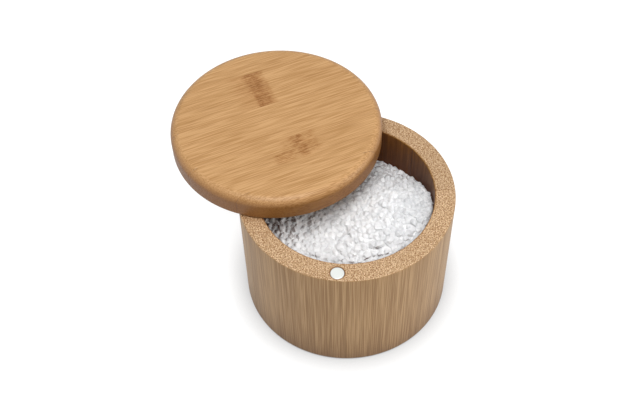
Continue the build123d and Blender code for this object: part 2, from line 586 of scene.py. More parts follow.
@dataclass(frozen=True)
class BambooFinish:
    """Oiled bamboo: one board or strip with its tone, its fibres, its knuckles and its glue lines."""

    name: str
    frame: GrainFrame
    light: Colour
    dark: Colour
    end_grain: Colour
    pith: Colour
    # Multiplied into turned sides: on the vessel's cavity wall it is painted shade, and on the lid it darkens
    # the turned edge.
    side_tone_and_shade: Colour
    bundle_pitch: float
    bundle_length: float
    bundle_strength: float
    dot_strength: float
    fine_width: float
    fine_length: float
    fine_contrast: float
    tone: float
    shift: float
    seams: tuple[float, ...]
    roughness: float
    fibre: Colour = (0.20, 0.085, 0.026)
    stain: Colour = (0.50, 0.33, 0.17)
    side_calm: float = 0.0
    bundle_thickness: float = 0.42
    bundle_fading: float = 0.55
    middle_width: float = 1.3
    middle_length: float = 45.0
    middle_contrast: float = 0.1
    broad_width: float = 5.0
    broad_length: float = 130.0
    broad_contrast: float = 0.5
    cut_pitch: float = 0.8
    cut_reading: Span = (0.35, 0.95)
    shift_stretch: float = 7.0
    seam_width: float = 0.35
    seam_strength: float = 0.5
    knuckles: tuple[Knuckle, ...] = ()
    speck_share: float = 0.6
    # A painted shadow of the gap round the magnet, on the board that holds it.
    ring: Optional[GapShadowRing] = None
    gap_shadow_strength: float = 0.85
    handling_size: float = 30.0
    handling_strength: float = 0.07
    # Painted shade: the colour is multiplied towards a dark tint where the surroundings are closed in, as in
    # the cavity under the lid and low on the side near the floor.
    painted_shade_reach: float = 0.0
    painted_shade_reading: Span = (0.15, 0.85)
    painted_shade_tint: Colour = (0.31, 0.18, 0.06)
    painted_shade_samples: int = 8
    grit_roughness: float = 0.12
    fibre_roughness: float = 0.18
    sheen: float = 0.3
    streak_relief: float = 0.4
    bump_strength: float = 0.22
    bump_height: float = 0.2

    def material(self) -> bpy.types.Material:
        """Builds the material.

        Returns:
            The finished material.
        """
        material, bench, shader = new_material(self.name)
        grain = self.frame.placed(bench)
        own_grain = bench.vector_math("ADD", grain, (self.shift * self.shift_stretch, 0.0, self.shift))
        streaks = self._streaks(bench, own_grain)
        handling = Handling.placed(bench, {"Place": grain, "Size": self.handling_size})
        cut = bench.remap(bench.attribute(END_GRAIN), self.cut_reading, RISING)
        ends = CutFibres.placed(bench, {"Grain": own_grain, "Pitch": self.cut_pitch})
        side = bench.attribute(TURNED_SIDE)
        calm = bench.remap(side, RISING, (1.0, 1.0 - self.side_calm))

        fibre = self._fibres(bench, own_grain, streaks["Broad"])
        fibre = bench.math("MULTIPLY", fibre, calm)
        colour = bench.mix(fibre, self._wood(bench, streaks, calm), self.fibre)
        colour = bench.mix(cut, colour, self._cut_face(bench, ends))
        colour = self._marked(bench, grain, colour)
        # Painted shade on the cavity wall, and a darker turned edge on the lid.
        colour = bench.mix(side, colour, self.side_tone_and_shade, "MULTIPLY")
        worn = bench.math("MULTIPLY", handling["Patches"], self.handling_strength)
        colour = bench.mix(worn, colour, self.dark)
        # Painted shade, darker where the surroundings are closed in.
        if self.painted_shade_reach:
            open_share = bench.openness(self.painted_shade_reach, self.painted_shade_samples)
            shaded = bench.remap(open_share, self.painted_shade_reading, FALLING)
            colour = bench.mix(shaded, colour, self.painted_shade_tint, "MULTIPLY")
        bench.link(colour, shader["Base Color"])

        fibre = bench.mix(cut, fibre, ends["Dots"])
        rough = bench.math("ADD", self.roughness, bench.centred(handling["Grit"], self.grit_roughness))
        rough = bench.math("ADD", rough, bench.math("MULTIPLY", fibre, self.fibre_roughness))
        bench.link(rough, shader["Roughness"])
        relief = bench.math("SUBTRACT", bench.math("MULTIPLY", streaks["Fine"], self.streak_relief), fibre)
        bench.link(bench.bump(relief, self.bump_strength, self.bump_height), shader["Normal"])
        shader["Specular IOR Level"].default_value = self.sheen
        return material

    def _streaks(self, bench: NodeBench, grain: Socket) -> Outputs:
        """Places the grain's streaks.

        Args:
            bench: The bench on the material's tree.
            grain: The board's own grain coordinates.

        Returns:
            The outputs of the shared streaks.
        """
        sizes = {
            "Fine Width": self.fine_width, "Fine Length": self.fine_length,
            "Middle Width": self.middle_width, "Middle Length": self.middle_length,
            "Broad Width": self.broad_width, "Broad Length": self.broad_length,
        }
        return GrainStreaks.placed(bench, {"Grain": grain, **sizes})

    def _fibres(self, bench: NodeBench, grain: Socket, broad: Feed) -> Socket:
        """Finds how strongly the fibre bundles show.

        Args:
            bench: The bench on the material's tree.
            grain: The board's own grain coordinates.
            broad: The broad streaks, in whose pale parts the bundles fade.

        Returns:
            The bundles' share of the colour.
        """
        sizes = {"Pitch": self.bundle_pitch, "Length": self.bundle_length, "Thickness": self.bundle_thickness}
        bundles = FibreBundles.placed(bench, {"Grain": grain, **sizes})["Mask"]
        strengths = (self.bundle_strength, self.bundle_strength * self.bundle_fading)
        return bench.math("MULTIPLY", bundles, bench.remap(broad, RISING, strengths))

    def _wood(self, bench: NodeBench, streaks: Outputs, calm: Feed) -> Socket:
        """Blends the wood's dark and light tones along its streaks.

        Args:
            bench: The bench on the material's tree.
            streaks: The outputs of the shared streaks.
            calm: What the streaks are multiplied by on turned sides.

        Returns:
            The wood's colour.
        """
        fine = bench.centred(streaks["Fine"], self.fine_contrast)
        middle = bench.centred(streaks["Middle"], self.middle_contrast)
        broad = bench.centred(streaks["Broad"], self.broad_contrast)
        change = bench.math("ADD", bench.math("ADD", fine, middle), broad)
        blend = bench.math("ADD", bench.math("MULTIPLY", change, calm), 0.5 + self.tone)
        return bench.mix(bench.math("MINIMUM", bench.math("MAXIMUM", blend, 0.0), 1.0), self.dark, self.light)

    def _cut_face(self, bench: NodeBench, ends: Outputs) -> Socket:
        """Colours the wood where it is cut across its fibres.

        Args:
            bench: The bench on the material's tree.
            ends: The outputs of the shared cut fibres.

        Returns:
            The cut face's colour.
        """
        face = bench.mix(ends["Pith"], self.end_grain, self.pith)
        face = bench.mix(bench.math("MULTIPLY", ends["Dots"], self.dot_strength), face, self.fibre)
        return bench.mix(1.0, face, (1.0 + self.tone,) * 3, "MULTIPLY")

    def _marked(self, bench: NodeBench, grain: Socket, colour: Feed) -> Socket:
        """Lays the knuckles, the glue lines and the ring, a painted shadow of the magnet's gap, over the
        wood's colour.

        Args:
            bench: The bench on the material's tree.
            grain: The grain coordinates.
            colour: The wood's colour so far.

        Returns:
            The colour with its marks.
        """
        stains = []
        for mark in self.knuckles:
            masks = KnuckleMark.placed(bench, {"Grain": grain, **mark.sizes})
            stains.append((masks["Stain"], mark.strength))
            stains.append((masks["Specks"], mark.strength * self.speck_share))
        for seam in self.seams:
            line = GlueLine.placed(bench, {"Grain": grain, "Seam": seam, "Width": self.seam_width})
            stains.append((line["Mask"], self.seam_strength))
        for mask, strength in stains:
            colour = bench.mix(bench.math("MULTIPLY", mask, strength), colour, self.stain, "MULTIPLY")
        # A painted shadow of the gap between the magnet and its pocket.
        if self.ring:
            plan = bench.vector_math("MULTIPLY", bench.own_place(), (1.0 / MM, 1.0 / MM, 0.0))
            ends = {0: plan, 1: (*self.ring.centre, 0.0)}
            outset = bench.node("ShaderNodeVectorMath", ends, operation="DISTANCE").outputs["Value"]
            away = bench.math("ABSOLUTE", bench.math("SUBTRACT", outset, self.ring.radius))
            ring = bench.remap(away, (0.0, self.ring.width), (self.gap_shadow_strength, 0.0))
            colour = bench.mix(ring, colour, self.fibre)
        return colour


@dataclass(frozen=True)
class MetalFinish:
    """Plated or brushed metal with faint patches in its sheen."""

    name: str
    base: Colour
    roughness: float
    brushed: float = 0.0
    dulled: Colour = (0.55, 0.53, 0.5)
    dulled_share: float = 0.12
    handling_size: float = 2.5
    grit_roughness: float = 0.1
    brush_scale: tuple[float, float, float] = (0.4, 0.4, 14.0)
    bump_height: float = 0.05

    def material(self) -> bpy.types.Material:
        """Builds the material.

        Returns:
            The finished material.
        """
        material, bench, shader = new_material(self.name)
        place = bench.scaled(bench.own_place(), 1.0 / MM)
        handling = Handling.placed(bench, {"Place": place, "Size": self.handling_size})
        lines = bench.noise(bench.vector_math("MULTIPLY", place, self.brush_scale), detail=2.0)
        worn = bench.math("MULTIPLY", handling["Patches"], self.dulled_share)
        bench.link(bench.mix(worn, self.base, self.dulled), shader["Base Color"])
        grit = bench.math("MULTIPLY", handling["Grit"], self.grit_roughness)
        brush = bench.math("MULTIPLY", lines, self.brushed)
        rough = bench.math("ADD", bench.math("ADD", self.roughness, grit), brush)
        bench.link(rough, shader["Roughness"])
        bench.link(bench.bump(lines, self.brushed, self.bump_height), shader["Normal"])
        shader["Metallic"].default_value = 1.0
        return material


@dataclass(frozen=True)
class SaltFinish:
    """Coarse salt: white crystals that let a little light through, each with its own grey tone, greyed as
    painted shade towards one side of the heap and darkened as painted shadow under the lid.
    """

    name: str = "coarse_salt"
    # The grey that crystals go towards, for their random tone and for painted shade across the heap.
    grey_and_heap_shade: Colour = (0.47, 0.48, 0.5)
    white: Colour = (0.85, 0.85, 0.855)
    cloud_scale: float = 0.9
    cloud_reading: Span = (0.3, 0.7)
    cloud_strength: Span = (0.4, 1.0)
    shadow: Colour = (0.13, 0.09, 0.075)
    shadow_reach: float = 30.0
    shadow_reading: Span = (0.17, 0.53)
    shadow_samples: int = 32
    crevice_reach: float = 3.0
    crevice_share: float = 0.12
    roughness: Span = (0.75, 0.5)
    pitting_scale: float = 3.5
    pitting_strength: float = 0.15
    pitting_depth: float = 0.1
    evenness: float = 0.45
    refraction: float = 1.54
    sheen: float = 0.3
    glow_share: float = 0.5
    glow_depth: float = 0.6
    glow_spread: tuple[float, float, float] = (1.0, 1.0, 1.0)

    def material(self) -> bpy.types.Material:
        """Builds the material.

        Returns:
            The finished material.
        """
        material, bench, shader = new_material(self.name)
        own = bench.own_place()
        up = tuple(UP)
        shade = bench.attribute(CRYSTAL_TONE_AND_SHADE)
        cloud = bench.noise(bench.scaled(own, self.cloud_scale / MM), detail=3.0)
        cloud = bench.remap(cloud, self.cloud_reading, self.cloud_strength)
        colour = bench.mix(bench.math("MULTIPLY", shade, cloud), self.white, self.grey_and_heap_shade)
        # Painted shadow: the colour goes towards a dark shade where the heap is closed in, as under the lid;
        # the openness close by divides this out, so that the crevices between crystals are spared.
        open_shares = [
            bench.math("ADD", self.crevice_share, bench.openness(reach, self.shadow_samples, Normal=up))
            for reach in (self.shadow_reach, self.crevice_reach)
        ]
        shadow = bench.remap(bench.math("DIVIDE", *open_shares), self.shadow_reading, FALLING)
        bench.link(bench.mix(shadow, colour, self.shadow), shader["Base Color"])
        bench.link(bench.remap(shade, RISING, self.roughness), shader["Roughness"])
        pitting = bench.noise(bench.scaled(own, self.pitting_scale / MM), detail=2.0)
        pitted = bench.bump(pitting, self.pitting_strength, self.pitting_depth)
        lifted = bench.mix_vectors(self.evenness, pitted, up)
        bench.link(bench.vector_math("NORMALIZE", lifted), shader["Normal"])
        shader["IOR"].default_value = self.refraction
        shader["Specular IOR Level"].default_value = self.sheen
        shader["Subsurface Weight"].default_value = self.glow_share
        shader["Subsurface Radius"].default_value = self.glow_spread
        shader["Subsurface Scale"].default_value = self.glow_depth * MM
        return material


# --------------------------------------------------------------------------------------------------
# Shared shaping
# --------------------------------------------------------------------------------------------------


@dataclass(frozen=True)
class Corner:
    """One corner of a turned outline: its distance from the axis, its height and its round-over."""

    radius: float
    height: float
    rounding: float = 0.0


@dataclass(frozen=True)
class TurnedForm:
    """A solid of revolution about the upright axis, from an outline that starts and ends on the axis."""

    corners: tuple[Corner, ...]
    steps: int = ROUND_STEPS
    round_steps: int = 8
    longest_rise: float = 6.0

    def shaped(self) -> Shape:
        """Rounds the outline's corners and spins it.

        Returns:
            The closed solid.
        """
        solid = bmesh.new()
        points = [solid.verts.new((corner.radius, 0.0, corner.height)) for corner in self.corners]
        for start, end in zip(points, points[1:]):
            solid.edges.new((start, end))
        for point, corner in zip(points, self.corners):
            if corner.rounding:
                bmesh.ops.bevel(
                    solid, geom=[point], offset=corner.rounding, offset_type="OFFSET", affect="VERTICES",
                    segments=self.round_steps, profile=0.5, material=-1,
                )
        for edge in solid.edges[:]:
            rise = abs(edge.verts[0].co.z - edge.verts[1].co.z)
            if rise > self.longest_rise:
                bmesh.ops.subdivide_edges(solid, edges=[edge], cuts=int(rise / self.longest_rise))
        bmesh.ops.spin(
            solid, geom=solid.verts[:] + solid.edges[:], cent=(0, 0, 0), axis=(0, 0, 1), angle=math.tau,
            steps=self.steps, use_merge=True,
        )
        bmesh.ops.remove_doubles(solid, verts=solid.verts[:], dist=MERGE_DISTANCE)
        bmesh.ops.recalc_face_normals(solid, faces=solid.faces[:])
        return solid


def sawn(block: Shape, across: Vector, near: Optional[float], far: Optional[float]) -> Shape:
    """Cuts one board out of a turned block between two glue seams.

    Args:
        block: The turned block, which is left as it is.
        across: The direction across the grain.
        near: The seam on the low side, or None where the board ends at the block's edge.
        far: The seam on the high side, or None.

    Returns:
        The closed board.
    """
    board = block.copy()
    for seam, outward in ((near, -across), (far, across)):
        if seam is None:
            continue
        everything = board.verts[:] + board.edges[:] + board.faces[:]
        cut = bmesh.ops.bisect_plane(
            board, geom=everything, dist=MERGE_DISTANCE, plane_co=across * seam, plane_no=outward,
            clear_outer=True,
        )
        rim = [part for part in cut["geom_cut"] if isinstance(part, bmesh.types.BMEdge)]
        bmesh.ops.holes_fill(board, edges=rim, sides=0)
    bmesh.ops.recalc_face_normals(board, faces=board.faces[:])
    return board


def bored(board: Shape, cutter: Shape) -> Shape:
    """Takes a cutter's shape out of a board.

    Args:
        board: The board, which is used up.
        cutter: The closed shape to take out, which is used up.

    Returns:
        The board with its hole.
    """
    objects = []
    for shape in (board, cutter):
        mesh = bpy.data.meshes.new("boring")
        shape.to_mesh(mesh)
        shape.free()
        objects.append(bpy.data.objects.new("boring", mesh))
        bpy.context.scene.collection.objects.link(objects[-1])
    boolean = objects[0].modifiers.new("hole", "BOOLEAN")
    boolean.operation, boolean.solver, boolean.object = "DIFFERENCE", "EXACT", objects[1]
    result = bmesh.new()
    graph = bpy.context.evaluated_depsgraph_get()
    result.from_mesh(objects[0].evaluated_get(graph).to_mesh())
    for leftover in objects:
        mesh = leftover.data
        bpy.data.objects.remove(leftover)
        bpy.data.meshes.remove(mesh)
    return result


@dataclass
class Piece:
    """One finished piece of the object, the body that it rides on, and the nodes that it hides."""

    name: str
    body: Body
    slot: Slot
    nodes: tuple[str, ...]

    def finished(self, shape: Shape, material: bpy.types.Material) -> bpy.types.Object:
        """Turns a shape in millimetres into the piece's object, in place and in metres.

        Args:
            shape: The piece's shape, which is used up.
            material: The piece's material.

        Returns:
            The piece's object, riding on its body.
        """
        bmesh.ops.scale(shape, vec=(MM, MM, MM), verts=shape.verts[:])
        mesh = bpy.data.meshes.new(self.name)
        shape.to_mesh(mesh)
        shape.free()
        mesh.materials.append(material)
        piece = bpy.data.objects.new(self.name, mesh)
        bpy.context.scene.collection.objects.link(piece)
        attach(piece, self.body.value)
        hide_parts(*self.nodes)
        LOG.info("%s: %d faces, for %s", self.name, len(mesh.polygons), ", ".join(self.nodes))
        return piece


def soften(shape: Shape, flats: Iterable[Vector]) -> None:
    """Shades the turned faces of a shape smooth, and leaves its flat ends and sawn sides flat.

    Args:
        shape: The shape to shade.
        flats: The directions that flat faces look in, either way.
    """
    directions = list(flats)
    for face in shape.faces:
        face.smooth = all(abs(face.normal.dot(direction)) < FLATNESS for direction in directions)


def marked(shape: Shape, attribute: str, rule: Callable[[bmesh.types.BMFace], float]) -> None:
    """Writes a value on every face of a shape, for its material to read.

    Args:
        shape: The shape to mark.
        attribute: The attribute's name.
        rule: What gives each face its value.
    """
    layer = shape.faces.layers.float.new(attribute)
    for face in shape.faces:
        face[layer] = rule(face)


def heading(angle: float) -> Vector:
    """The level direction at an angle in degrees, anticlockwise from +X."""
    return Vector((math.cos(math.radians(angle)), math.sin(math.radians(angle)), 0.0))


# --------------------------------------------------------------------------------------------------
# The object's sub-assemblies
# --------------------------------------------------------------------------------------------------


@dataclass(frozen=True)
class Hardware:
    """The pivot pin and the two disc magnets, and where they are let in."""

    wall_middle: float = 40.3
    pin_angle: float = 76.7
    pin_radius: float = 2.0
    pin_bore_radius: float = 2.06
    pin_foot: float = 41.4
    pin_bore_floor: float = 41.15
    pin_head: float = 66.1
    pin_chamfer: float = 0.4
    magnet_angle: float = -94.5
    magnet_reach: float = 40.8
    magnet_radius: float = 2.75
    magnet_thickness: float = 3.0
    magnet_rounding: float = 0.22
    pocket_radius: float = 2.85
    pocket_depth: float = 3.15
    pocket_flare: float = 0.12
    drill_outset: float = 1.0
    steps: int = 96

    @property
    def pin_centre(self) -> Vector:
        """The pin's axis, in plan."""
        return heading(self.pin_angle) * self.wall_middle

    @property
    def magnet_centre(self) -> Vector:
        """The magnets' axis while the lid is shut, in plan."""
        return heading(self.magnet_angle) * self.magnet_reach

    def rod(self, centre: Vector, corners: tuple[Corner, ...], round_steps: int = 1) -> Shape:
        """Makes a small turned solid about an upright axis.

        Args:
            centre: The axis, in plan.
            corners: The solid's outline.
            round_steps: How many faces each rounded edge has.

        Returns:
            The closed solid.
        """
        solid = TurnedForm(corners, self.steps, round_steps, longest_rise=100.0).shaped()
        bmesh.ops.translate(solid, vec=centre, verts=solid.verts[:])
        return solid

    def pin(self) -> Shape:
        """Makes the pin, chamfered at both ends.

        Returns:
            The closed solid.
        """
        corners = (
            Corner(0.0, self.pin_foot), Corner(self.pin_radius, self.pin_foot, self.pin_chamfer),
            Corner(self.pin_radius, self.pin_head, self.pin_chamfer), Corner(0.0, self.pin_head),
        )
        return self.rod(self.pin_centre, corners)

    def magnet(self, bottom: float) -> Shape:
        """Makes a disc magnet, rounded at both ends.

        Args:
            bottom: The height of its lower face.

        Returns:
            The closed solid.
        """
        top = bottom + self.magnet_thickness
        corners = (
            Corner(0.0, bottom), Corner(self.magnet_radius, bottom, self.magnet_rounding),
            Corner(self.magnet_radius, top, self.magnet_rounding), Corner(0.0, top),
        )
        return self.rod(self.magnet_centre, corners, round_steps=4)

    def drill(
        self, centre: Vector, radius: float, deep: float, mouth: float, flare: float = 0.0
    ) -> Shape:
        """The shape that a drill takes out, a little wider at the mouth.

        Args:
            centre: The hole's axis, in plan.
            radius: The hole's radius.
            deep: The height of its closed end.
            mouth: The height of its mouth.
            flare: The width of the bevel round the mouth.

        Returns:
            The cutter, which stands a little out of the mouth.
        """
        outward = math.copysign(1.0, mouth - deep)
        end = mouth + outward * self.drill_outset
        corners = (
            Corner(0.0, deep), Corner(radius, deep), Corner(radius, mouth - outward * flare),
            Corner(radius + flare + self.drill_outset, end), Corner(0.0, end),
        )
        return self.rod(centre, corners)

    def pocket(self, deep: float, mouth: float) -> Shape:
        """The shape of a magnet's pocket, from its closed end to its mouth."""
        return self.drill(self.magnet_centre, self.pocket_radius, deep, mouth, self.pocket_flare)


@dataclass
class Vessel:
    """The turned cup of upright boards, with its magnet."""

    hardware: Hardware
    radius: float = 44.5
    height: float = 59.4
    cavity_radius: float = 36.1
    floor: float = 8.5
    base_rounding: float = 1.2
    rim_outer_rounding: float = 0.55
    rim_inner_rounding: float = 0.7
    cavity_rounding: float = 3.0
    seams: tuple[float, ...] = (-21.7, 0.8, 23.3)
    tones: tuple[float, ...] = (0.02, 0.04, -0.06, -0.04)
    shifts: tuple[float, ...] = (0.0, 31.0, 67.0, 12.0)
    gap_shadow_outset: float = 0.15
    gap_shadow_width: float = 0.35

    def cup(self) -> Shape:
        """Makes the cup as it comes off the lathe.

        Returns:
            The closed solid.
        """
        corners = (
            Corner(0.0, 0.0), Corner(self.radius, 0.0, self.base_rounding),
            Corner(self.radius, self.height, self.rim_outer_rounding),
            Corner(self.cavity_radius, self.height, self.rim_inner_rounding),
            Corner(self.cavity_radius, self.floor, self.cavity_rounding), Corner(0.0, self.floor),
        )
        return TurnedForm(corners).shaped()

    @staticmethod
    def inside(face: bmesh.types.BMFace) -> float:
        """How far a face looks inwards: 1 on the cavity's wall, and 0 on the rim and outside."""
        place = face.calc_center_median()
        return max(0.0, -face.normal.dot(Vector((place.x, place.y, 0.0)).normalized()))

    def finish(self, index: int, near: Optional[float], far: Optional[float]) -> BambooFinish:
        """The finish of one board.

        Args:
            index: The board's place, from the front.
            near: The seam in front of it.
            far: The seam behind it.

        Returns:
            The board's finish.
        """
        magnet = self.hardware.magnet_centre
        # A painted shadow round the magnet's pocket.
        ring = GapShadowRing((magnet.x, magnet.y), self.hardware.pocket_radius + self.gap_shadow_outset, self.gap_shadow_width)
        return BambooFinish(
            name=f"vessel_bamboo_{index + 1}",
            frame=GrainFrame(Grain.UPRIGHT),
            light=(0.445, 0.275, 0.127),
            dark=(0.276, 0.15, 0.055),
            end_grain=(0.414, 0.259, 0.132),
            pith=(0.782, 0.586, 0.391),
            # Painted shade on the cavity wall.
            side_tone_and_shade=(0.8, 0.575, 0.225),
            side_calm=-0.8,
            # Painted shade in the cavity and low on the outside.
            painted_shade_reach=45.0,
            fine_width=0.27,
            fine_length=32.0,
            fine_contrast=1.75,
            bundle_pitch=0.6,
            bundle_length=24.0,
            bundle_strength=0.26,
            dot_strength=0.9,
            tone=self.tones[index],
            shift=self.shifts[index],
            seams=tuple(seam for seam in (near, far) if seam is not None),
            ring=ring if near is None else None,
            roughness=0.5,
            sheen=0.38,
        )

    def build(self) -> None:
        """Makes the boards and the magnet."""
        hardware = self.hardware
        across = Vector((0.0, 1.0, 0.0))
        cup = self.cup()
        pocket_floor = self.height - hardware.pocket_depth
        limits = (None, *self.seams, None)
        for index, (near, far) in enumerate(zip(limits, limits[1:])):
            board = sawn(cup, across, near, far)
            if near is None:
                board = bored(board, hardware.pocket(pocket_floor, self.height))
            if far is None:
                bore = (hardware.pin_bore_radius, hardware.pin_bore_floor, self.height)
                board = bored(board, hardware.drill(hardware.pin_centre, *bore))
            soften(board, (UP, across))
            marked(board, END_GRAIN, lambda face: abs(face.normal.z))
            marked(board, TURNED_SIDE, self.inside)
            number = index + 1
            piece = Piece(f"cup_board_{number}", Body.VESSEL, Slot.VESSEL_BAMBOO, (f"vessel_board_{number}",))
            piece.finished(board, self.finish(index, near, far).material())
        cup.free()
        magnet = hardware.magnet(pocket_floor)
        soften(magnet, (UP,))
        plating = MetalFinish("magnet_plating", (0.76, 0.785, 0.755), roughness=0.45)
        piece = Piece("rim_magnet", Body.VESSEL, Slot.MAGNET_PLATING, ("vessel_magnet",))
        piece.finished(magnet, plating.material())


@dataclass
class Lid:
    """The lid of edge-glued strips, with its pin and its magnet, turned open on the pin."""

    hardware: Hardware
    radius: float = 44.7
    underside: float = 59.6
    top: float = 70.4
    top_rounding: float = 4.0
    bottom_rounding: float = 1.0
    grain_angle: float = 88.3
    open_angle: float = 62.8
    seams: tuple[float, ...] = (-32.4, -11.6, 9.2, 30.0)
    tones: tuple[float, ...] = (0.0, 0.02, 0.0, 0.03, 0.02)
    shifts: tuple[float, ...] = (5.0, 43.0, 81.0, 19.0, 57.0)
    knuckles: dict[int, tuple[Knuckle, ...]] = field(
        default_factory=lambda: {
            3: (
                Knuckle(-0.6, 19.6, 3.2, 14.0, 1.5, 0.4, 0.6),
                Knuckle(0.9, 19.6, 4.1, 14.0, 0.8, 0.35, 0.4),
                Knuckle(-3.0, 19.6, 6.5, 14.0, 3.5, 0.4, 0.35),
            ),
            1: (
                Knuckle(3.6, -18.0, 1.9, 6.2, 0.9, 0.5, 0.62),
                Knuckle(5.5, -17.0, 5.6, 6.0, 1.5, 0.75, 0.6),
                Knuckle(-5.0, -21.2, 4.0, 2.6, 1.2, 0.6, 0.6),
                Knuckle(-1.0, -16.5, 3.5, 4.0, 2.0, 0.8, 0.35),
            ),
        }
    )

    @property
    def swing(self) -> Matrix:
        """The turn about the pin from shut to open.

        Returns:
            The turn, as a transform in millimetres.
        """
        centre = self.hardware.pin_centre
        turn = Matrix.Rotation(math.radians(-self.open_angle), 4, "Z")
        return Matrix.Translation(centre) @ turn @ Matrix.Translation(-centre)

    @property
    def centre(self) -> Vector:
        """The middle of the open lid, in plan."""
        return self.swing @ Vector((0.0, 0.0, 0.0))

    def disc(self) -> Shape:
        """Makes the disc as it comes off the lathe, shut.

        Returns:
            The closed solid.
        """
        corners = (
            Corner(0.0, self.underside), Corner(self.radius, self.underside, self.bottom_rounding),
            Corner(self.radius, self.top, self.top_rounding), Corner(0.0, self.top),
        )
        return TurnedForm(corners, round_steps=12, longest_rise=2.5).shaped()

    def finish(self, index: int, near: Optional[float], far: Optional[float]) -> BambooFinish:
        """The finish of one strip.

        Args:
            index: The strip's place across the grain.
            near: The seam on its low side.
            far: The seam on its high side.

        Returns:
            The strip's finish.
        """
        centre = self.centre
        return BambooFinish(
            name=f"lid_bamboo_{index + 1}",
            frame=GrainFrame(Grain.LEVEL, (centre.x, centre.y), self.grain_angle - self.open_angle),
            light=(0.546, 0.318, 0.142),
            dark=(0.39, 0.206, 0.074),
            end_grain=(0.42, 0.228, 0.096),
            pith=(0.528, 0.3, 0.138),
            side_tone_and_shade=(0.5, 0.375, 0.22),
            stain=(0.56, 0.36, 0.13),
            bundle_pitch=0.8,
            bundle_length=14.0,
            bundle_strength=0.2,
            dot_strength=0.3,
            fine_width=0.28,
            fine_length=15.0,
            fine_contrast=1.8,
            broad_width=6.0,
            broad_length=70.0,
            seam_strength=0.22,
            tone=self.tones[index],
            shift=self.shifts[index],
            seams=tuple(seam for seam in (near, far) if seam is not None),
            knuckles=self.knuckles.get(index, ()),
            roughness=0.42,
        )

    def build(self) -> None:
        """Makes the strips, the pin and the magnet."""
        hardware = self.hardware
        across = heading(self.grain_angle + 90.0)
        open_grain = heading(self.grain_angle - self.open_angle)
        swing = self.swing
        disc = self.disc()
        limits = (None, *self.seams, None)
        pin_strip = sum(seam < hardware.pin_centre.dot(across) for seam in self.seams)
        pocket_roof = self.underside + hardware.pocket_depth
        for index, (near, far) in enumerate(zip(limits, limits[1:])):
            strip = sawn(disc, across, near, far)
            if index == pin_strip:
                bore = (hardware.pin_radius, hardware.pin_head, self.underside)
                strip = bored(strip, hardware.drill(hardware.pin_centre, *bore))
                strip = bored(strip, hardware.pocket(pocket_roof, self.underside))
            soften(strip, (UP, across))
            bmesh.ops.transform(strip, matrix=swing, verts=strip.verts[:])
            marked(strip, END_GRAIN, lambda face: abs(face.normal.dot(open_grain)))
            marked(strip, TURNED_SIDE, lambda face: 1.0 - abs(face.normal.z))
            number = index + 1
            piece = Piece(f"disc_strip_{number}", Body.LID, Slot.LID_BAMBOO, (f"lid_strip_{number}",))
            piece.finished(strip, self.finish(index, near, far).material())
        disc.free()
        pin_steel = MetalFinish("pin_steel", (0.62, 0.62, 0.63), roughness=0.28, brushed=0.2)
        plating = MetalFinish("lid_magnet_plating", (0.72, 0.73, 0.71), roughness=0.3)
        magnet = hardware.magnet(pocket_roof - hardware.magnet_thickness)
        for piece, shape, finish in (
            (Piece("swivel_pin", Body.LID, Slot.PIN_STEEL, ("pivot_pin",)), hardware.pin(), pin_steel),
            (Piece("underside_magnet", Body.LID, Slot.MAGNET_PLATING, ("lid_magnet",)), magnet, plating),
        ):
            soften(shape, (UP,))
            bmesh.ops.transform(shape, matrix=swing, verts=shape.verts[:])
            piece.finished(shape, finish.material())


@dataclass(frozen=True)
class Crystal:
    """One loose crystal: its centre, its radius and how it is tumbled."""

    spot: Vector
    radius: float
    tumble: Euler


@dataclass(frozen=True)
class CrystalLayer:
    """One layer of loose crystals: how deep they lie, how closely they are set, and out of how many tries."""

    depth: float
    scatter: float
    closeness: float
    darts: int


